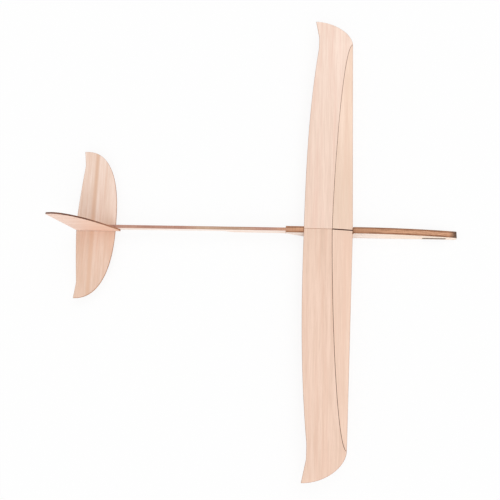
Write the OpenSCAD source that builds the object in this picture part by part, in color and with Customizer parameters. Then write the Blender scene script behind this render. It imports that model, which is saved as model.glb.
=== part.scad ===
// Hand-launched balsa glider, laser cut from flat sheet and glued up.
// +X points to the nose, +Y to the left wing tip, +Z up. The belly of the pod lies on Z = 0,
// and the origin is on the belly, under the leading edge of the wing at its root.

/* [Wing] */
// Span from tip to tip
wing_span = 460; // [340:1:700]
// Chord at the root, from leading to trailing edge
wing_chord = 46.5; // [38:0.5:80]
// Chord of the front panel at the root
front_chord = 19.6; // [12:0.2:30]
// How far the leading edge falls back by the tip
wing_sweep = 3; // [0:0.5:20]
// How far the trailing edge comes forward before the tip
te_rise = 9; // [0:0.5:14]
// How far the raked tip reaches back behind that
tip_hook = 3.8; // [0:0.2:8]
// Share of the half span at which the tip curve starts
tip_start = 0.877; // [0.8:0.005:0.92]
// Thickness where the two panels meet
wing_thick = 2.2; // [1.6:0.1:4]
// Thickness at the leading edge at the root
le_thick = 1.6; // [1:0.1:3]
// Thickness at the trailing edge
te_thick = 1.2; // [0.8:0.1:3]
// Slope of the rear panels, nose down, in degrees
rear_slope = 1; // [0:0.5:4]
// Slope of the front panels, nose down, in degrees
front_slope = 6; // [2:0.5:12]
// Gap between the left and right front panels at the centre line
front_gap = 0.7; // [0:0.1:1.5]

/* [Fuselage] */
// Length from the wing's leading edge to the nose
nose_length = 98.6; // [70:0.2:160]
// Length from the wing's leading edge to the tail end of the boom
tail_length = 268; // [200:1:380]
// Thickness of the core sheet
core_thick = 3.2; // [2:0.1:6]
// Thickness of each cheek sheet
cheek_thick = 1.6; // [1:0.1:3]
// Height of the pod's top line above the belly
pod_depth = 15; // [12:0.5:28]
// Height of the blunt nose
nose_depth = 6; // [5:0.5:12]
// Corner radius of the nose
nose_round = 1.2; // [0.5:0.1:2.4]
// Depth of the core just behind the pod
neck_depth = 8; // [6:0.5:12]
// Depth of the boom at its thinnest
waist_depth = 4.6; // [3.5:0.1:8]
// Depth of the boom over the stabilizer
tail_depth = 6; // [4:0.1:10]
// How far the cheeks reach back behind the wing's trailing edge
cheek_reach = 17.4; // [8:0.2:30]
// Height of the upright end of each cheek
cheek_end = 4; // [2:0.5:8]
// Slant of the cheeks' rear ends above the horizontal, in degrees
cheek_slant = 26; // [20:1:45]
// Length of the deep neck of the core behind the cheeks
neck_length = 50; // [30:1:60]
// Length of the step from the neck down to the thin boom
waist_step = 12; // [8:1:20]
// Clearance left for glue between the wing and its seat
glue_gap = 0.1; // [0.05:0.05:0.4]

/* [Tail] */
// Span of the stabilizer
stab_span = 154; // [110:1:240]
// Chord of the stabilizer at its middle
stab_chord = 40; // [30:0.5:60]
// How far the stabilizer's trailing edge comes forward before the tips
stab_te_rise = 4.6; // [0:0.2:8]
// How far the stabilizer's tips reach back behind that
stab_hook = 1.9; // [0:0.1:5]
// Thickness of the tail sheets
tail_thick = 1.6; // [1:0.1:3]
// Height of the fin above the stabilizer
fin_height = 49.8; // [35:0.5:80]
// Length of the fin along its root
fin_root = 44; // [30:0.5:60]
// Height of the fin's blunt front end
fin_front = 2.4; // [1:0.1:6]
// How far the fin's tip lies behind its root
fin_sweep = 14; // [0:0.5:30]
// Length of the fin's flat top
fin_top = 6.5; // [3:0.5:12]
// How far the fin's root stops short of the stabilizer's trailing edge
fin_inset = 1.4; // [0:0.2:6]

/* [Nose ballast] */
// Length of the ballast bar
ballast_length = 21.5; // [10:0.5:30]
// Height of the ballast bar
ballast_height = 2.6; // [1.6:0.1:3.4]
// Distance from the nose to the ballast bar
ballast_setback = 10.2; // [6:0.2:20]
// Wood left between the belly and the ballast bar
ballast_floor = 1.4; // [1:0.1:2]
// Clearance around the ballast bar in its slot
slot_gap = 0.05; // [0.02:0.01:0.2]

/* [As glued] */
// How far the wing is turned, left tip forward, in degrees
wing_turn = 0.8; // [-3:0.1:3]
// How far the stabilizer is turned, left tip forward, in degrees
stab_turn = -2.1; // [-5:0.1:5]
// How far the stabilizer sits to the left of the boom
stab_shift = 6; // [-8:0.5:8]

/* [Hidden] */

half_span = wing_span / 2;
pod_width = core_thick + 2 * cheek_thick;
tail_floor = pod_depth - tail_depth;       // height of the boom's flat underside at the tail

// stations along curved outlines
wing_steps = 26;
tip_steps = 14;
curve_steps = 24;
arc_end = 87;                              // last angle on the tip curves, short of a zero-width tip

// ---- wing outline, x ahead of the root leading edge, s from 0 at the root to 1 at the tip ----
te_flat = 0.86;                            // share of the half span where the trailing edge runs straight
hook_start = 0.915;                        // share of the half span where the raked tip starts
te_power = 2.7;
joint_power = 1.4;
tip_power = 1.8;
tip_x = te_rise - tip_hook - wing_chord;

function leading(s) = -wing_sweep * min(s, tip_start);
function trailing(s) = -wing_chord + te_rise * pow(min(s / te_flat, 1), te_power)
    - tip_hook * max(0, (s - hook_start) / (1 - hook_start));
function joint_line(s) = leading(tip_start)
    - (front_chord + leading(tip_start)) * sqrt(1 - pow(s / tip_start, joint_power));
function tip_curve(s) = tip_x + (leading(tip_start) - tip_x)
    * pow(1 - pow((s - tip_start) / (1 - tip_start), tip_power), 1 / tip_power);

// ---- underside of the wing: two flat slopes that meet on the joint line ----
function rear_under(x) = pod_depth + glue_gap - (x + wing_chord) * tan(rear_slope);
function front_under(s, x) = rear_under(joint_line(s)) - (x - joint_line(s)) * tan(front_slope);

front_root = front_gap / wing_span;         // share of the half span where the front panels begin
inner = concat([0, front_root], [for (i = [1:wing_steps]) tip_start * sin(90 * i / wing_steps)]);
outer = [for (i = [1:tip_steps]) tip_start + (1 - tip_start) * sin(arc_end * i / tip_steps)];

// one section of a panel: lower rear, lower front, upper front, upper rear
function section(y, rear, front, low_r, low_f, high_r, high_f) =
    [[rear, y, low_r], [front, y, low_f], [front, y, high_f], [rear, y, high_r]];

function rear_section(s) =
    let (inside = s <= tip_start,
         front = inside ? joint_line(s) : tip_curve(s),
         outward = inside ? 0 : (s - tip_start) / (1 - tip_start),
         front_t = wing_thick + (te_thick - wing_thick) * outward)
    section(s * half_span, trailing(s), front, rear_under(trailing(s)), rear_under(front),
            rear_under(trailing(s)) + te_thick, rear_under(front) + front_t);

function front_section(s) =
    let (rear = joint_line(s), front = leading(s),
         front_t = wing_thick + (le_thick - wing_thick) * (front - rear) / front_chord)
    section(s * half_span, rear, front, rear_under(rear), front_under(s, front),
            rear_under(rear) + wing_thick, front_under(s, front) + front_t);

// skin over a row of four-point sections, closed at both ends
module loft(rows) {
    n = len(rows);
    polyhedron(
        points = [for (r = rows) each r],
        faces = concat(
            [[0, 1, 2, 3]],
            [for (i = [0:n - 2]) for (k = [0:3])
                let (a = 4 * i + k, b = 4 * i + (k + 1) % 4)
                each [[a, a + 4, b + 4], [a, b + 4, b]]],
            [[for (k = [3:-1:0]) 4 * (n - 1) + k]]),
        convexity = 4);
}

module rear_panel() {
    loft([for (s = concat(inner, outer)) rear_section(s)]);
}

module front_panel() {
    loft([for (i = [1:wing_steps]) front_section(inner[i])]);   // stops short of a zero-width end
}

// the wing pieces are set on the pod with the wing's own small turn
module on_pod() { rotate([0, 0, -wing_turn]) children(); }

// ---- fuselage side outlines, drawn as [x, z] ----
seat_gap = 0.3;                            // room in front of and behind the wing in its seat
seat_rear = -wing_chord - seat_gap;
seat_joint = -front_chord;
seat_front = seat_gap;
seat_joint_z = rear_under(seat_joint) - glue_gap;
seat_front_z = front_under(0, seat_front) - glue_gap;

cheek_tail = -wing_chord - cheek_reach;
cheek_toe = cheek_tail + (pod_depth - cheek_end) / tan(cheek_slant);  // the slanted end meets the belly
belly_lead = 15;                           // the core's belly stops being flat this far ahead of the toe
neck_lag = 8;                              // and has risen to the neck's underside this far behind the cheeks
belly_end = cheek_toe + belly_lead;
rise_end = cheek_tail - neck_lag;
neck_end = cheek_tail - neck_length;
waist_start = neck_end - waist_step;
boom_overlap = 15;                         // the boom reaches this far behind the stabilizer's middle
stab_mid = boom_overlap - tail_length;     // middle of the stabilizer's root chord
tail_lead = 5;                             // the flat underside starts this far ahead of the stabilizer
tail_flat = stab_mid + stab_chord / 2 + tail_lead;

function blend(a, b, t) = a + (b - a) * (1 - cos(180 * t)) / 2;
function s_curve(x0, z0, x1, z1, n) = [for (i = [0:n]) [x0 + (x1 - x0) * i / n, blend(z0, z1, i / n)]];
function nose_top(x) = pod_depth - (pod_depth - nose_depth) * pow(x / nose_length, 2);

nose_line = [for (i = [1:curve_steps])
    let (x = seat_front + (nose_length - nose_round - seat_front) * i / curve_steps) [x, nose_top(x)]];
nose_arc = concat(
    [for (a = [75:-15:0]) [nose_length - nose_round + nose_round * cos(a),
                           nose_top(nose_length - nose_round) - nose_round + nose_round * sin(a)]],
    [for (a = [0:-15:-90]) [nose_length - nose_round + nose_round * cos(a), nose_round + nose_round * sin(a)]]);
seat = [[seat_rear, pod_depth], [seat_joint, seat_joint_z], [seat_front, seat_front_z],
        [seat_front, pod_depth]];

module core_outline() {
    polygon(concat(
        [[-tail_length, pod_depth]], seat, nose_line, nose_arc,
        s_curve(belly_end, 0, rise_end, pod_depth - neck_depth, curve_steps),
        s_curve(neck_end, pod_depth - neck_depth, waist_start, pod_depth - waist_depth, curve_steps),
        [[tail_flat, tail_floor], [-tail_length, tail_floor]]));
}

module cheek_outline() {
    polygon(concat(
        [[cheek_tail, pod_depth]], seat, nose_line, nose_arc,
        [[cheek_toe, 0], [cheek_tail, pod_depth - cheek_end]]));
}

ballast_front = nose_length - ballast_setback;

module slot_outline(gap) {
    translate([ballast_front - ballast_length - gap, ballast_floor - gap])
        square([ballast_length + 2 * gap, ballast_height + 2 * gap]);
}

// stands a side outline up, with its right face at y and its thickness to the left
module upright(y, thick) {
    translate([0, y + thick, 0]) rotate([90, 0, 0]) linear_extrude(height = thick) children();
}

// ---- tail outlines ----
stab_half = stab_span / 2;
stab_te_flat = 0.8;                        // share of the half span where the trailing edge comes furthest forward
stab_te_power = 1.4;
stab_le_power = 2.45;
stab_tip_x = -stab_chord / 2 + stab_te_rise - stab_hook;

function stab_trailing(s) = -stab_chord / 2 + stab_te_rise * pow(min(s / stab_te_flat, 1), stab_te_power)
    - stab_hook * max(0, (s - stab_te_flat) / (1 - stab_te_flat));
function stab_leading(s) = stab_tip_x + (stab_chord / 2 - stab_tip_x)
    * pow(1 - pow(s, stab_le_power), 1 / stab_le_power);

module stab_outline() {
    shares = [for (i = [-curve_steps:curve_steps]) sin(90 * i / curve_steps)];
    polygon(concat(
        [for (s = shares) [stab_leading(abs(s)), s * stab_half]],
        [for (i = [2 * curve_steps - 1:-1:1]) [stab_trailing(abs(shares[i])), shares[i] * stab_half]]));
}

fin_rear = stab_mid - stab_chord / 2 + fin_inset;
fin_nose = fin_rear + fin_root;
fin_tip = fin_rear - fin_sweep;
fin_power = 1.75;
fin_corner = [[1, 0.6], [0, 1.8]];         // the rear corner's cut points: ahead of the tip, below the top

module fin_outline() {
    top_x = fin_tip + fin_top;
    polygon(concat(
        [[fin_rear, 0], [fin_nose, 0]],
        [for (i = [0:curve_steps])
            let (u = 1 - i / curve_steps)
            [top_x + (fin_nose - top_x) * u, fin_front + (fin_height - fin_front) * (1 - pow(u, fin_power))]],
        [for (c = fin_corner) [fin_tip + c[0], fin_height - c[1]]]));
}

// ---- the pieces ----
module fuselage_core() {
    color("burlywood") upright(-core_thick / 2, core_thick)
        difference() { core_outline(); slot_outline(slot_gap); }
}

module cheek(y) {
    color("tan") upright(y, cheek_thick)
        difference() { cheek_outline(); slot_outline(slot_gap); }
}

module cheek_left() { cheek(core_thick / 2); }
module cheek_right() { cheek(-core_thick / 2 - cheek_thick); }

module wing_left_rear() { color("bisque") on_pod() rear_panel(); }
module wing_left_front() { color("blanchedalmond") on_pod() front_panel(); }
module wing_right_rear() { color("bisque") on_pod() mirror([0, 1, 0]) rear_panel(); }
module wing_right_front() { color("blanchedalmond") on_pod() mirror([0, 1, 0]) front_panel(); }

module stabilizer() {
    color("wheat") translate([stab_mid, 0, tail_floor - tail_thick])
        rotate([0, 0, -stab_turn]) translate([0, stab_shift, 0])
            linear_extrude(height = tail_thick) stab_outline();
}

module fin() {
    color("wheat") translate([0, 0, tail_floor])
        upright(-core_thick / 2 - tail_thick, tail_thick) fin_outline();
}

module nose_ballast() {
    color("dimgray") upright(-pod_width / 2, pod_width) slot_outline(0);
}

fuselage_core();
cheek_left();
cheek_right();
wing_left_rear();
wing_left_front();
wing_right_rear();
wing_right_front();
stabilizer();
fin();
nose_ballast();
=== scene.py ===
import math

import bpy
from mathutils import Matrix, Vector


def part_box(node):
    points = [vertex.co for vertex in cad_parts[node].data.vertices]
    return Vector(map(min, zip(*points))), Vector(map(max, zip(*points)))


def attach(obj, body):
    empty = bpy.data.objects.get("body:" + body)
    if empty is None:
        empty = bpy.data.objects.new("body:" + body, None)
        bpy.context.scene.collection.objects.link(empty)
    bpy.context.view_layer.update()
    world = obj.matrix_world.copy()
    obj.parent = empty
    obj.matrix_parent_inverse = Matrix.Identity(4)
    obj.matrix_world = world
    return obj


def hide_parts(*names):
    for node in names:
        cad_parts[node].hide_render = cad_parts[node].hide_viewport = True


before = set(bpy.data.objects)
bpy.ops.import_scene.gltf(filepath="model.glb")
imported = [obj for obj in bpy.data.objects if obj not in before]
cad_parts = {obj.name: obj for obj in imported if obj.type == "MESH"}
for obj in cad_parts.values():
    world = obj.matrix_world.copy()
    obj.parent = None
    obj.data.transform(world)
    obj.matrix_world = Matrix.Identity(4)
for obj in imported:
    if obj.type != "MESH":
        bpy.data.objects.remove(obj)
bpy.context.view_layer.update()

MM = 0.001
X, Y, Z = 0, 1, 2
LENGTHWISE, SPANWISE = X, Y          # the two ways the grain runs
SHEET = 0.975                        # a face whose normal lies this close to the sheet's is its surface

# how burnt a surface is, and at the highest level how deep its painted shade: bare wood is 0
RIM = 0.55                           # the scorched rim of a sheet's face, at the cut
CUT = 1.0                            # a laser-cut edge
LEFT_JOINT = 1.6                     # the left wing's curved joint, darker than a cut edge
RIGHT_JOINT = 1.8                    # and the right wing's, darker still
GLUE_AND_GAP_SHADE = 2.0                           # a cut edge black with glue, darkened further by painted shade for the deep gap it lines
ROOT_BURN_AND_FOOT_SHADE = 0.8                      # the rear panels' root edges, which meet face to face, and the fin's foot, partly painted contact shade

FIN_RIM = 0.2                        # the fin's face beside its curved edge

RIM_WIDTH = 0.6 * MM
LEFT_JOINT_ROUND = 0.22 * MM         # sanding of a corner that butts against another panel
RIGHT_JOINT_ROUND = 0.24 * MM        # and on the right wing, which was sanded harder
SHEET_ROUND = 0.16 * MM              # sanding of a plain sheet's corners
WING_ROUND = 0.5 * MM                # sanding of the wing's open edges
ROUND_STEPS, WING_STEPS = 2, 3       # facets on a sanded corner
SHADE_ANGLE = math.radians(35)       # corners blunter than this are shaded smooth

SAME_POINT = 0.002 * MM              # points this close are one
SHEET_BENDS = 0.3                    # degrees: bends in an outline smaller than this are taken out
WING_BENDS = 0.05                    # less on the wing, whose faces twist a little
TIP_SHARE = 0.97                     # beyond this share of the half span the outline's points are closed up
TIP_MERGE = 0.7 * MM

FACES_SIDEWAYS = 0.2                 # a wall's normal has at least this much of the way it faces
FACES_UP = 0.5
NEARLY_LEVEL = 0.8                   # a sanded face that still belongs to the sheet's rim
ROOT_REACH = 2 * MM                  # a wing's root edge lies within this of the centre

BAR_ROUND = 0.3 * MM                 # the lead bar's corners
BAR_DENTS = 0.03 * MM


# ---------------------------------------------------------------- selecting and shaping


def only(piece):
    """Makes this piece the one that the operators work on."""
    bpy.ops.object.select_all(action="DESELECT")
    piece.select_set(True)
    bpy.context.view_layer.objects.active = piece
    return piece


def edit(piece, mode):
    """Goes into edit mode on this piece, with everything deselected, in VERT, EDGE or FACE mode."""
    only(piece)
    bpy.ops.object.mode_set(mode="EDIT")
    bpy.ops.mesh.select_mode(type=mode)
    bpy.ops.mesh.select_all(action="DESELECT")
    bpy.ops.object.mode_set(mode="OBJECT")


def pick(piece, mode, wanted):
    """Selects the vertices, edges or faces that wanted() accepts, and stays in edit mode."""
    edit(piece, mode)
    mesh = piece.data
    for part in {"VERT": mesh.vertices, "EDGE": mesh.edges, "FACE": mesh.polygons}[mode]:
        part.select = bool(wanted(part))
    bpy.ops.object.mode_set(mode="EDIT")


def done():
    """Leaves edit mode."""
    bpy.ops.object.mode_set(mode="OBJECT")


def merged_copy(node, straighten=SHEET_BENDS, stuff="wood"):
    """A copy of a cut part, its loose triangles merged into whole faces, and bends smaller than
    straighten, in degrees, taken out of its outline."""
    piece = bpy.data.objects.new(f"{node}_{stuff}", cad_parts[node].data.copy())
    bpy.context.scene.collection.objects.link(piece)
    piece.data.materials.clear()
    only(piece)
    bpy.ops.object.mode_set(mode="EDIT")
    bpy.ops.mesh.select_all(action="SELECT")
    bpy.ops.mesh.remove_doubles(threshold=SAME_POINT)
    bpy.ops.mesh.dissolve_limited(angle_limit=math.radians(straighten))
    done()
    return piece


def ring_rim(piece, sheet):
    """Insets the sheet's faces, so that the scorched rim is a narrow ring of its own."""
    pick(piece, "FACE", sheet)
    bpy.ops.mesh.inset(thickness=RIM_WIDTH, use_even_offset=True, use_boundary=True)
    done()


def corner_edges(piece, sheet, side):
    """The edges between a sheet face and a side face that side() accepts."""
    faces = {}
    for face in piece.data.polygons:
        for key in face.edge_keys:
            faces.setdefault(key, []).append(face)
    found = set()
    for key, pair in faces.items():
        if len(pair) == 2 and sheet(pair[0]) != sheet(pair[1]):
            wall = pair[0] if sheet(pair[1]) else pair[1]
            if side(wall):
                found.add(key)
    return found


def round_corners(piece, keys, radius, steps):
    """Sands the corners along these edges to a radius."""
    pick(piece, "EDGE", lambda edge: edge.key in keys)
    bpy.ops.mesh.bevel(offset=radius, segments=steps, affect="EDGES", clamp_overlap=False,
                       loop_slide=False)
    done()


def mark_burn_and_shade(piece, sheet, level):
    """Writes how burnt each face corner is, with painted shade in the deepest gaps. level(face, shared)
    gives it, where shared says whether the corner lies between a wall and the sheet's surface."""
    mesh = piece.data
    wall_points = {v for face in mesh.polygons if not sheet(face) for v in face.vertices}
    sheet_points = {v for face in mesh.polygons if sheet(face) for v in face.vertices}
    burn_and_shade = mesh.attributes.new("burn_and_shade", "FLOAT", "CORNER")
    for face in mesh.polygons:
        for corner in face.loop_indices:
            point = mesh.loops[corner].vertex_index
            burn_and_shade.data[corner].value = level(face, point in wall_points and point in sheet_points)


def smooth(piece):
    """Shades the piece smooth, apart from its sharp corners."""
    only(piece)
    bpy.ops.object.shade_smooth_by_angle(angle=SHADE_ANGLE)


# ---------------------------------------------------------------- wooden pieces


def sheet_piece(node, normal, rim=lambda face: RIM, cut=lambda face: CUT):
    """A piece of flat sheet, its normal along this axis: a burnt cut edge, a scorched rim and lightly
    sanded corners. rim(face) and cut(face) say how burnt each of them is."""
    def sheet(face):
        return abs(face.normal[normal]) > SHEET

    def level(face, shared):
        return (rim(face) if shared else 0) if sheet(face) else cut(face)

    piece = merged_copy(node)
    ring_rim(piece, sheet)
    round_corners(piece, corner_edges(piece, sheet, lambda wall: True), SHEET_ROUND, ROUND_STEPS)
    mark_burn_and_shade(piece, sheet, level)
    smooth(piece)
    return piece


def wing_panel(node, partner):
    """A wing panel: its open edges are sanded round, and the edges glued to its neighbours stay crisp
    and dark."""
    own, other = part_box(node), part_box(partner)
    side = 1 if own[1].y > -own[0].y else -1           # 1 for a left panel, -1 for a right one
    tip, other_tip = (own[1].y, other[1].y) if side > 0 else (own[0].y, other[0].y)
    reach = min(side * tip, side * other_tip)
    facing = 1 if own[0].x < other[0].x else -1        # the rear panel's glued edge faces forward

    def sheet(face):
        return abs(face.normal.z) > SHEET

    def at_partner(face):
        return facing * face.normal.x > FACES_SIDEWAYS and side * face.center.y < reach

    def at_root(face):
        return side * face.normal.y < -FACES_SIDEWAYS and side * face.center.y < ROOT_REACH

    def glued(face):
        return at_partner(face) or at_root(face)

    def level(face, shared):
        if sheet(face):
            return 0
        if at_partner(face):
            return LEFT_JOINT if side > 0 else RIGHT_JOINT
        if at_root(face):
            return GLUE_AND_GAP_SHADE if facing < 0 else ROOT_BURN_AND_FOOT_SHADE       # the front panels' open gap holds glue, and its walls carry painted shade for the gap's depth
        return 0 if shared else RIM if abs(face.normal.z) > NEARLY_LEVEL else CUT

    piece = merged_copy(node, WING_BENDS)
    if facing > 0:
        pick(piece, "VERT", lambda point: side * point.co.y > TIP_SHARE * side * tip)
        bpy.ops.mesh.remove_doubles(threshold=TIP_MERGE)
        done()
    open_edges = corner_edges(piece, sheet, lambda wall: not glued(wall))
    round_corners(piece, open_edges, WING_ROUND, WING_STEPS)
    joints = corner_edges(piece, sheet, glued)
    round_corners(piece, joints, LEFT_JOINT_ROUND if side > 0 else RIGHT_JOINT_ROUND, ROUND_STEPS)
    mark_burn_and_shade(piece, sheet, level)
    smooth(piece)
    return piece


def ballast_bar(node):
    """The lead bar, a little dented by the pliers that pressed it in."""
    piece = merged_copy(node, stuff="lead")
    edit(piece, "EDGE")
    bpy.ops.object.mode_set(mode="EDIT")
    bpy.ops.mesh.select_all(action="SELECT")
    bpy.ops.mesh.bevel(offset=BAR_ROUND, segments=3, affect="EDGES")
    bpy.ops.mesh.select_all(action="SELECT")
    bpy.ops.mesh.subdivide(number_cuts=3)
    bpy.ops.transform.vertex_random(offset=BAR_DENTS, uniform=0, normal=1, seed=4)
    done()
    smooth(piece)
    return piece


# ---------------------------------------------------------------- materials


def seen(red, green, blue):
    """A colour as it looks, 0 to 255, in the shader's own linear terms."""
    def one(level):
        share = level / 255
        return share / 12.92 if share <= 0.04045 else ((share + 0.055) / 1.055) ** 2.4
    return (one(red), one(green), one(blue), 1.0)


class Finish:
    """A new material, and short words for the nodes that make it."""

    def __init__(self, name, turn=0.0):
        self.material = bpy.data.materials.new(name)
        self.material.use_nodes = True
        self.tree = self.material.node_tree
        self.tree.nodes.clear()
        self.shader = self.add("ShaderNodeBsdfPrincipled")
        out = self.add("ShaderNodeOutputMaterial")
        self.link(self.shader.outputs[0], out.inputs["Surface"])
        self.place = self.add("ShaderNodeTexCoord").outputs["Object"]
        if turn:
            self.place = self.mapped(rotation=(0, 0, math.radians(turn)))

    def add(self, kind, **settings):
        node = self.tree.nodes.new(kind)
        for key, value in settings.items():
            setattr(node, key, value)
        return node

    def link(self, start, end):
        self.tree.links.new(start, end)

    def put(self, socket, value):
        """Links a socket to another, or sets its number or colour."""
        if isinstance(value, bpy.types.NodeSocket):
            self.link(value, socket)
        else:
            socket.default_value = value

    def mapped(self, scale=(1, 1, 1), rotation=(0, 0, 0), shift=(0, 0, 0)):
        mapping = self.add("ShaderNodeMapping")
        self.link(self.place, mapping.inputs["Vector"])
        mapping.inputs["Scale"].default_value = scale
        mapping.inputs["Rotation"].default_value = rotation
        mapping.inputs["Location"].default_value = shift
        return mapping.outputs["Vector"]

    def figure(self, axis, width, length, seed, detail=3.0, rough=0.6, warp=0.0):
        """Noise drawn out along an axis: marks about this wide and this long, in mm."""
        scale = [1 / (width * MM)] * 3
        scale[axis] = 1 / (length * MM)
        noise = self.add("ShaderNodeTexNoise")
        self.link(self.mapped(scale=scale, shift=(seed, 1.7 * seed, 0.6 * seed)), noise.inputs["Vector"])
        noise.inputs["Scale"].default_value = 1.0
        noise.inputs["Detail"].default_value = detail
        noise.inputs["Roughness"].default_value = rough
        noise.inputs["Distortion"].default_value = warp
        return noise.outputs["Fac"]

    def steer(self, value, low, high, out_low=0.0, out_high=1.0):
        """Maps a value from one range to another with a smooth ease, and holds it inside."""
        ramp = self.add("ShaderNodeMapRange", interpolation_type="SMOOTHSTEP")
        self.put(ramp.inputs["Value"], value)
        for key, number in (("From Min", low), ("From Max", high),
                            ("To Min", out_low), ("To Max", out_high)):
            ramp.inputs[key].default_value = number
        return ramp.outputs["Result"]

    def sum(self, *terms):
        """Adds up pairs of a value and its weight."""
        total = None
        for value, weight in terms:
            part = self.add("ShaderNodeMath", operation="MULTIPLY")
            self.put(part.inputs[0], value)
            part.inputs[1].default_value = weight
            if total is None:
                total = part.outputs[0]
            else:
                both = self.add("ShaderNodeMath", operation="ADD")
                self.link(total, both.inputs[0])
                self.link(part.outputs[0], both.inputs[1])
                total = both.outputs[0]
        return total

    def mix(self, factor, a, b):
        node = self.add("ShaderNodeMix", data_type="RGBA")
        self.put(node.inputs[0], factor)
        self.put(node.inputs[6], a)
        self.put(node.inputs[7], b)
        return node.outputs[2]

    def along(self, axis):
        """The place along an axis, in metres."""
        split = self.add("ShaderNodeSeparateXYZ")
        self.link(self.place, split.inputs[0])
        return split.outputs[axis]

    def stripe(self, axis, middle, half_width):
        """1 on a line across an axis, fading to 0 at half_width from it."""
        away = self.add("ShaderNodeMath", operation="SUBTRACT")
        self.put(away.inputs[0], self.along(axis))
        away.inputs[1].default_value = middle
        size = self.add("ShaderNodeMath", operation="ABSOLUTE")
        self.link(away.outputs[0], size.inputs[0])
        return self.steer(size.outputs[0], 0, half_width, 1, 0)

    def attribute(self, name):
        return self.add("ShaderNodeAttribute", attribute_name=name).outputs["Fac"]

    def bump(self, height, depth):
        node = self.add("ShaderNodeBump")
        node.inputs["Distance"].default_value = depth
        self.link(height, node.inputs["Height"])
        self.link(node.outputs["Normal"], self.shader.inputs["Normal"])


# marks in the wood, each as its width and length in mm
BANDS = (8, 240)
BLUSH = (4, 90)
STREAKS = (1.5, 42)
FIBRES = (0.42, 13)
FLECKS = (0.5, 4.5)
SCORCH = (1.1, 26)                   # along a cut edge
BEAM_LINES = (0.3, 6)                # across a cut edge
RELIEF = 0.05 * MM                   # how deep the marks are
# glue in a deep gap, darkened with painted shade
GLUE_AND_GAP_SHADE_COLOUR = seen(92, 44, 22)


def face_colour(f, grain, wood, seed, streaks, fibres, flecks, far, heart):
    """The bare wood: broad bands, streaks and fibres between its pale and deep colour, then a rosy blush
    and the line of growth."""
    pale, deep, rosy = wood
    if far:
        axis, start, end, (far_pale, far_deep) = far
        there = f.steer(f.along(axis), start, end)
        pale, deep = f.mix(there, pale, far_pale), f.mix(there, deep, far_deep)
    bands = f.figure(grain, *BANDS, seed, detail=2)
    tone = f.sum((bands, 0.8), (streaks, 1.3), (fibres, 0.9))
    colour = f.mix(f.steer(tone, 1.15, 1.85), deep, pale)
    blush = f.figure(grain, *BLUSH, seed + 3)
    colour = f.mix(f.steer(blush, 0.42, 0.72, 0, 0.6), colour, rosy)
    if heart:
        middle, half_width, tint = heart
        broken = f.sum((f.stripe(1 - grain, middle, half_width), 1.0), (streaks, 0.5))
        colour = f.mix(f.steer(broken, 0.35, 1.25, 0, 0.8), colour, tint)
    return f.mix(f.steer(flecks, 0.66, 0.8, 0, 0.55), colour, rosy)


def cut_colour(f, edge, scorch, lines, edge_far):
    """The brown of a laser-cut edge: scorched streaks along it and the beam's fine lines across it."""
    light, dark = edge
    for axis, start, end, (far_light, far_dark) in edge_far:
        there = f.steer(f.along(axis), start, end)
        light, dark = f.mix(there, light, far_light), f.mix(there, dark, far_dark)
    return f.mix(f.steer(f.sum((scorch, 0.75), (lines, 0.25)), 0.36, 0.64), dark, light)


def balsa(name, grain, normal, wood, edge, seed, turn=0.0, far=None, heart=None, edge_far=()):
    """Bare balsa sheet with laser-cut edges.

    grain and normal are the axes of its grain and its thickness. wood is its pale, deep and rosy colour,
    edge the light and dark brown of its cut. far is (axis, from, to, (pale, deep)), the colours that the
    wood turns to along an axis, on the left wing and the stabilizer painted light; heart is (place, half
    width, colour), one darker line of growth; edge_far holds (axis, from, to, (light, dark)) for the cut
    edge."""
    f = Finish(name, turn)
    streaks = f.figure(grain, *STREAKS, seed + 5, warp=0.15)
    fibres = f.figure(grain, *FIBRES, seed + 7, rough=0.7)
    flecks = f.figure(grain, *FLECKS, seed + 9, detail=1)
    scorch = f.figure(grain, *SCORCH, seed + 11)
    lines = f.figure(normal, *BEAM_LINES, seed + 13, detail=1)

    face = face_colour(f, grain, wood, seed, streaks, fibres, flecks, far, heart)
    cut = cut_colour(f, edge, scorch, lines, edge_far)
    burn_and_shade = f.attribute("burn_and_shade")
    ragged = f.sum((burn_and_shade, 1.0), (scorch, 0.3))
    colour = f.mix(f.steer(ragged, 0.3, 1.05), face, cut)
    # the top burn level is glue with painted shade for the gaps it lines
    colour = f.mix(f.steer(burn_and_shade, CUT + 0.05, GLUE_AND_GAP_SHADE - 0.05), colour, GLUE_AND_GAP_SHADE_COLOUR)
    f.put(f.shader.inputs["Base Color"], colour)
    f.put(f.shader.inputs["Roughness"], f.steer(fibres, 0.3, 0.7, 0.6, 0.78))
    f.shader.inputs["Specular IOR Level"].default_value = 0.25
    f.bump(f.sum((fibres, 0.6), (flecks, -0.5), (lines, 0.25)), RELIEF)
    return f.material


def lead():
    """Dull grey lead, tarnished in patches and finely scratched."""
    f = Finish("dull_lead")
    tarnish = f.figure(X, 1.2, 3, 2.0)
    scratches = f.figure(X, 0.15, 4, 6.0, detail=2)
    patches = f.mix(f.steer(tarnish, 0.35, 0.65), seen(84, 80, 76), seen(126, 121, 115))
    f.put(f.shader.inputs["Base Color"], patches)
    f.shader.inputs["Metallic"].default_value = 0.6
    f.put(f.shader.inputs["Roughness"], f.steer(tarnish, 0.3, 0.7, 0.45, 0.68))
    f.bump(f.sum((tarnish, 0.7), (scratches, 0.3)), RELIEF)
    return f.material


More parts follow.
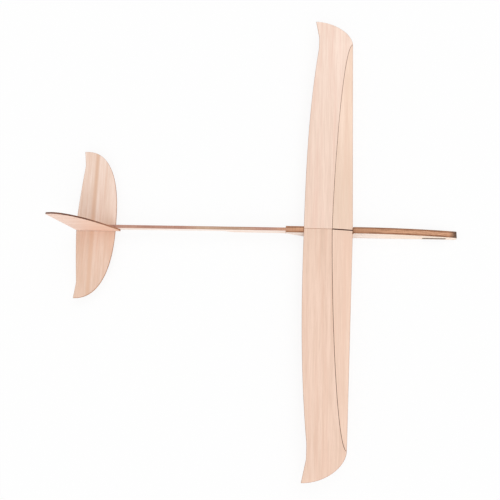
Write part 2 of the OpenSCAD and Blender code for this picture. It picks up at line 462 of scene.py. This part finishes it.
# the light and dark brown of the cut edges
EDGE = (seen(206, 156, 126), seen(172, 124, 96))
CHEEK_EDGE = (seen(180, 130, 98), seen(136, 92, 66))
CORE_EDGE = (seen(222, 170, 136), seen(180, 130, 98))
NOSE_EDGE = (seen(124, 98, 82), seen(78, 62, 54))
BOOM_EDGE = (seen(202, 156, 138), seen(172, 124, 108))
PALE_BOOM_EDGE = (seen(204, 170, 146), seen(178, 140, 118))
FIN_EDGE = (seen(138, 92, 70), seen(82, 52, 42))
FIN_FOOT_EDGE = (seen(196, 142, 112), seen(158, 106, 80))

# the body's wood: pale, deep and rosy, and its pale and deep colour towards the nose, all whitened with
# painted light on the body's sides
BODY_WOOD_AND_SIDE_LIGHT = (seen(255, 244, 236), seen(251, 234, 223), seen(249, 220, 202))
WARM_WOOD_AND_SIDE_LIGHT = (seen(254, 240, 226), seen(250, 229, 212))

STAB_TURN = -2.1                     # degrees, as the stabilizer is glued
LEFT_HALF_LIGHT_BEGINS = (-4 * MM, 30 * MM)   # its left half is paler: partly its own tone, partly painted light against the fin's shadow
HEART_BACK = 3 * MM                  # its line of growth, behind the middle of its box
HEART_HALF_WIDTH = 4 * MM
HEART_COLOUR = seen(226, 187, 161)

wing_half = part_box("wing_left_rear")[1].y
stab_low, stab_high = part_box("stabilizer")
stab_middle = (stab_low.x + stab_high.x) / 2
fin_low, fin_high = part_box("fin")
fin_middle = (fin_low.x + fin_high.x) / 2
tail, nose = (corner.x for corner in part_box("fuselage_core"))


def station(share):
    """A place along the body: 0 is the nose, 1 the tail."""
    return nose + share * (tail - nose)


# the stretches of the body, each from one station to another, over which a colour changes
BOOM_BEGINS = (station(0.413), station(0.491))
PALE_BEGINS = (station(0.504), station(0.572))
PALE_ENDS = (station(0.660), station(0.7225))
WARM_BEGINS = (station(0.2566), station(0.1265))
NOSE_BEGINS = (station(0.0234), nose)


def left_wing_wood_and_light():
    """Paler towards the tip: painted light from that side."""
    return balsa("balsa_wing_left_and_light", SPANWISE, Z,
                 (seen(248, 221, 204), seen(236, 207, 189), seen(240, 204, 186)), EDGE, 1.3,
                 far=(Y, 0.2 * wing_half, wing_half, (seen(255, 231, 216), seen(246, 219, 202))))


def right_wing_wood():
    """A little deeper towards the centre."""
    return balsa("balsa_wing_right", SPANWISE, Z,
                 (seen(246, 215, 196), seen(232, 199, 178), seen(234, 196, 174)), EDGE, 4.1,
                 far=(Y, -0.35 * wing_half, -0.05 * wing_half, (seen(242, 211, 191), seen(228, 195, 174))))


def left_front_wood_and_light():
    """Paler towards the tip: painted light from that side."""
    return balsa("balsa_front_left_and_light", SPANWISE, Z,
                 (seen(241, 213, 193), seen(234, 205, 183), seen(236, 202, 180)), EDGE, 7.7,
                 far=(Y, 0.1 * wing_half, 0.6 * wing_half, (seen(254, 226, 207), seen(245, 216, 195))))


def right_front_wood():
    """Even, a little deeper than the left one."""
    return balsa("balsa_front_right", SPANWISE, Z,
                 (seen(246, 215, 195), seen(237, 204, 183), seen(240, 203, 181)), EDGE, 9.2)


def stabilizer_wood_and_light():
    """One darker line of growth from tip to tip, and a paler left half, partly painted light against the
    fin's shadow.
    """
    return balsa("balsa_stabilizer_and_light", SPANWISE, Z,
                 (seen(239, 210, 192), seen(225, 192, 170), seen(228, 189, 165)), EDGE, 2.2,
                 turn=STAB_TURN,
                 far=(Y, *LEFT_HALF_LIGHT_BEGINS, (seen(249, 225, 211), seen(238, 210, 192))),
                 heart=(stab_middle - HEART_BACK, HEART_HALF_WIDTH, HEART_COLOUR))


def fin_wood():
    """Rosier towards its foot, with a nearly black back edge."""
    return balsa("balsa_fin", LENGTHWISE, Y,
                 (seen(250, 227, 214), seen(239, 211, 197), seen(238, 200, 180)), FIN_EDGE, 3.9,
                 far=(X, fin_low.x, fin_high.x, (seen(251, 213, 191), seen(240, 198, 172))),
                 edge_far=[(X, fin_middle, fin_high.x, FIN_FOOT_EDGE)])


def core_wood_and_side_light():
    """Pale face grain, whitened further with painted light on the sides; the top edge changes along the
    boom and is scorched at the nose.
    """
    return balsa("balsa_core_and_side_light", LENGTHWISE, Y, BODY_WOOD_AND_SIDE_LIGHT, CORE_EDGE, 5.5,
                 edge_far=[(X, *BOOM_BEGINS, BOOM_EDGE),
                           (X, *PALE_BEGINS, PALE_BOOM_EDGE),
                           (X, *PALE_ENDS, BOOM_EDGE),
                           (X, *NOSE_BEGINS, NOSE_EDGE)])


def cheek_wood_and_side_light(name, seed):
    """Pale face grain whitened further with painted light on the sides, warmer towards the nose, and a
    darker top edge than the core.
    """
    return balsa(name, LENGTHWISE, Y, BODY_WOOD_AND_SIDE_LIGHT, CHEEK_EDGE, seed, far=(X, *WARM_BEGINS, WARM_WOOD_AND_SIDE_LIGHT),
                 edge_far=[(X, *NOSE_BEGINS, NOSE_EDGE)])


# ---------------------------------------------------------------- building


def finish(piece, node, material):
    """Paints the piece and puts it in the node's place."""
    piece.data.materials.append(material)
    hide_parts(node)
    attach(piece, "root")


def seat_glue_and_shade(face):
    """The core's edge is dark where the wing sits on it: glue, and painted shade for the gap above it."""
    low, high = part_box("wing_left_rear")[0].x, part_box("wing_left_front")[1].x
    return GLUE_AND_GAP_SHADE if low < face.center.x < high and face.normal.z > FACES_UP else CUT


def fin_rim_and_foot_shade(face):
    """The fin's face is clean along its back edge and darker along its foot: scorch, and painted contact
    shade where it meets the stabilizer.
    """
    return ROOT_BURN_AND_FOOT_SHADE if face.center.z < stab_high.z + RIM_WIDTH else FIN_RIM


finish(sheet_piece("fuselage_core", Y, cut=seat_glue_and_shade), "fuselage_core", core_wood_and_side_light())
finish(sheet_piece("cheek_left", Y), "cheek_left", cheek_wood_and_side_light("balsa_cheek_left_and_side_light", 6.1))
finish(sheet_piece("cheek_right", Y), "cheek_right", cheek_wood_and_side_light("balsa_cheek_right_and_side_light", 8.4))
finish(sheet_piece("fin", Y, rim=fin_rim_and_foot_shade), "fin", fin_wood())
finish(sheet_piece("stabilizer", Z), "stabilizer", stabilizer_wood_and_light())
finish(wing_panel("wing_left_rear", "wing_left_front"), "wing_left_rear", left_wing_wood_and_light())
finish(wing_panel("wing_right_rear", "wing_right_front"), "wing_right_rear", right_wing_wood())
finish(wing_panel("wing_left_front", "wing_left_rear"), "wing_left_front", left_front_wood_and_light())
finish(wing_panel("wing_right_front", "wing_right_rear"), "wing_right_front", right_front_wood())
finish(ballast_bar("nose_ballast"), "nose_ballast", lead())


# ---------------------------------------------------------------- floor, light and camera

FLOOR_SIZE = 60                      # metres, so that its edge stays out of sight in low views
FLOOR_DROP = 0.1 * MM                # the floor lies this far below the belly
PAPER = (0.95, 0.95, 0.95, 1)
SHADOW_SHARE = 0.14                  # how much of the floor's look is lit paper, the rest plain white


def floor():
    """A white floor that keeps a faint shadow."""
    bpy.ops.mesh.primitive_plane_add(size=FLOOR_SIZE, location=(0, 0, -FLOOR_DROP))
    plane = bpy.context.object
    plane.name = "floor"
    bpy.ops.object.transform_apply(location=True)
    material = bpy.data.materials.new("paper")
    material.use_nodes = True
    tree = material.node_tree
    tree.nodes.clear()
    paper = tree.nodes.new("ShaderNodeBsdfDiffuse")
    paper.inputs["Color"].default_value = PAPER
    white = tree.nodes.new("ShaderNodeEmission")
    path = tree.nodes.new("ShaderNodeLightPath")
    share = tree.nodes.new("ShaderNodeMath")
    share.operation = "MULTIPLY"
    share.inputs[1].default_value = 1 - SHADOW_SHARE
    mix = tree.nodes.new("ShaderNodeMixShader")
    out = tree.nodes.new("ShaderNodeOutputMaterial")
    tree.links.new(path.outputs["Is Camera Ray"], share.inputs[0])
    tree.links.new(share.outputs[0], mix.inputs[0])
    tree.links.new(paper.outputs[0], mix.inputs[1])
    tree.links.new(white.outputs[0], mix.inputs[2])
    tree.links.new(mix.outputs[0], out.inputs["Surface"])
    plane.data.materials.append(material)


def world_light(strength):
    """A plain white room: this strength on the glider, full white where the camera sees it."""
    world = bpy.data.worlds.new("room")
    bpy.context.scene.world = world
    world.use_nodes = True
    tree = world.node_tree
    room = tree.nodes["Background"]
    room.inputs["Color"].default_value = (1, 1, 1, 1)
    path = tree.nodes.new("ShaderNodeLightPath")
    level = tree.nodes.new("ShaderNodeMapRange")
    level.inputs["To Min"].default_value = strength
    level.inputs["To Max"].default_value = 1.0
    tree.links.new(path.outputs["Is Camera Ray"], level.inputs["Value"])
    tree.links.new(level.outputs["Result"], room.inputs["Strength"])


def soft_sun(name, azimuth, elevation, spread, share):
    """A broad soft light from this side. share is what it adds to the level on a flat table."""
    height = math.radians(elevation)
    side = math.radians(azimuth)
    back = Vector((math.cos(height) * math.cos(side), math.cos(height) * math.sin(side), math.sin(height)))
    bpy.ops.object.light_add(type="SUN", location=back)
    lamp = bpy.context.object
    lamp.name = name
    lamp.data.angle = math.radians(spread)
    lamp.data.energy = share * math.pi / math.sin(height)
    lamp.rotation_euler = (-back).to_track_quat("-Z", "Y").to_euler()


def camera(aim, azimuth, elevation, distance, roll, lens):
    """A camera that looks at aim from this side, its top towards +Y, then turned about its own axis by
    roll. Angles in degrees."""
    side, height = math.radians(azimuth), math.radians(elevation)
    back = Vector((math.cos(height) * math.cos(side), math.cos(height) * math.sin(side), math.sin(height)))
    right = Vector((0, 1, 0)).cross(back).normalized()
    turn = Matrix((right, back.cross(right), back)).transposed().to_4x4()
    bpy.ops.object.camera_add()
    view = bpy.context.object
    view.data.lens = lens
    view.matrix_world = (Matrix.Translation(aim + distance * back) @ turn
                         @ Matrix.Rotation(math.radians(roll), 4, "Z"))
    bpy.context.scene.camera = view


floor()
world_light(strength=0.6)
soft_sun("key", azimuth=-80, elevation=42, spread=50, share=0.21)
soft_sun("fill", azimuth=60, elevation=60, spread=60, share=0.19)
camera(aim=Vector((-97.4, -21.75, 15.2)) * MM, azimuth=-72.49, elevation=72.86, distance=0.6212,
       roll=2.6, lens=46.8)

bpy.context.scene.view_settings.view_transform = "Standard"
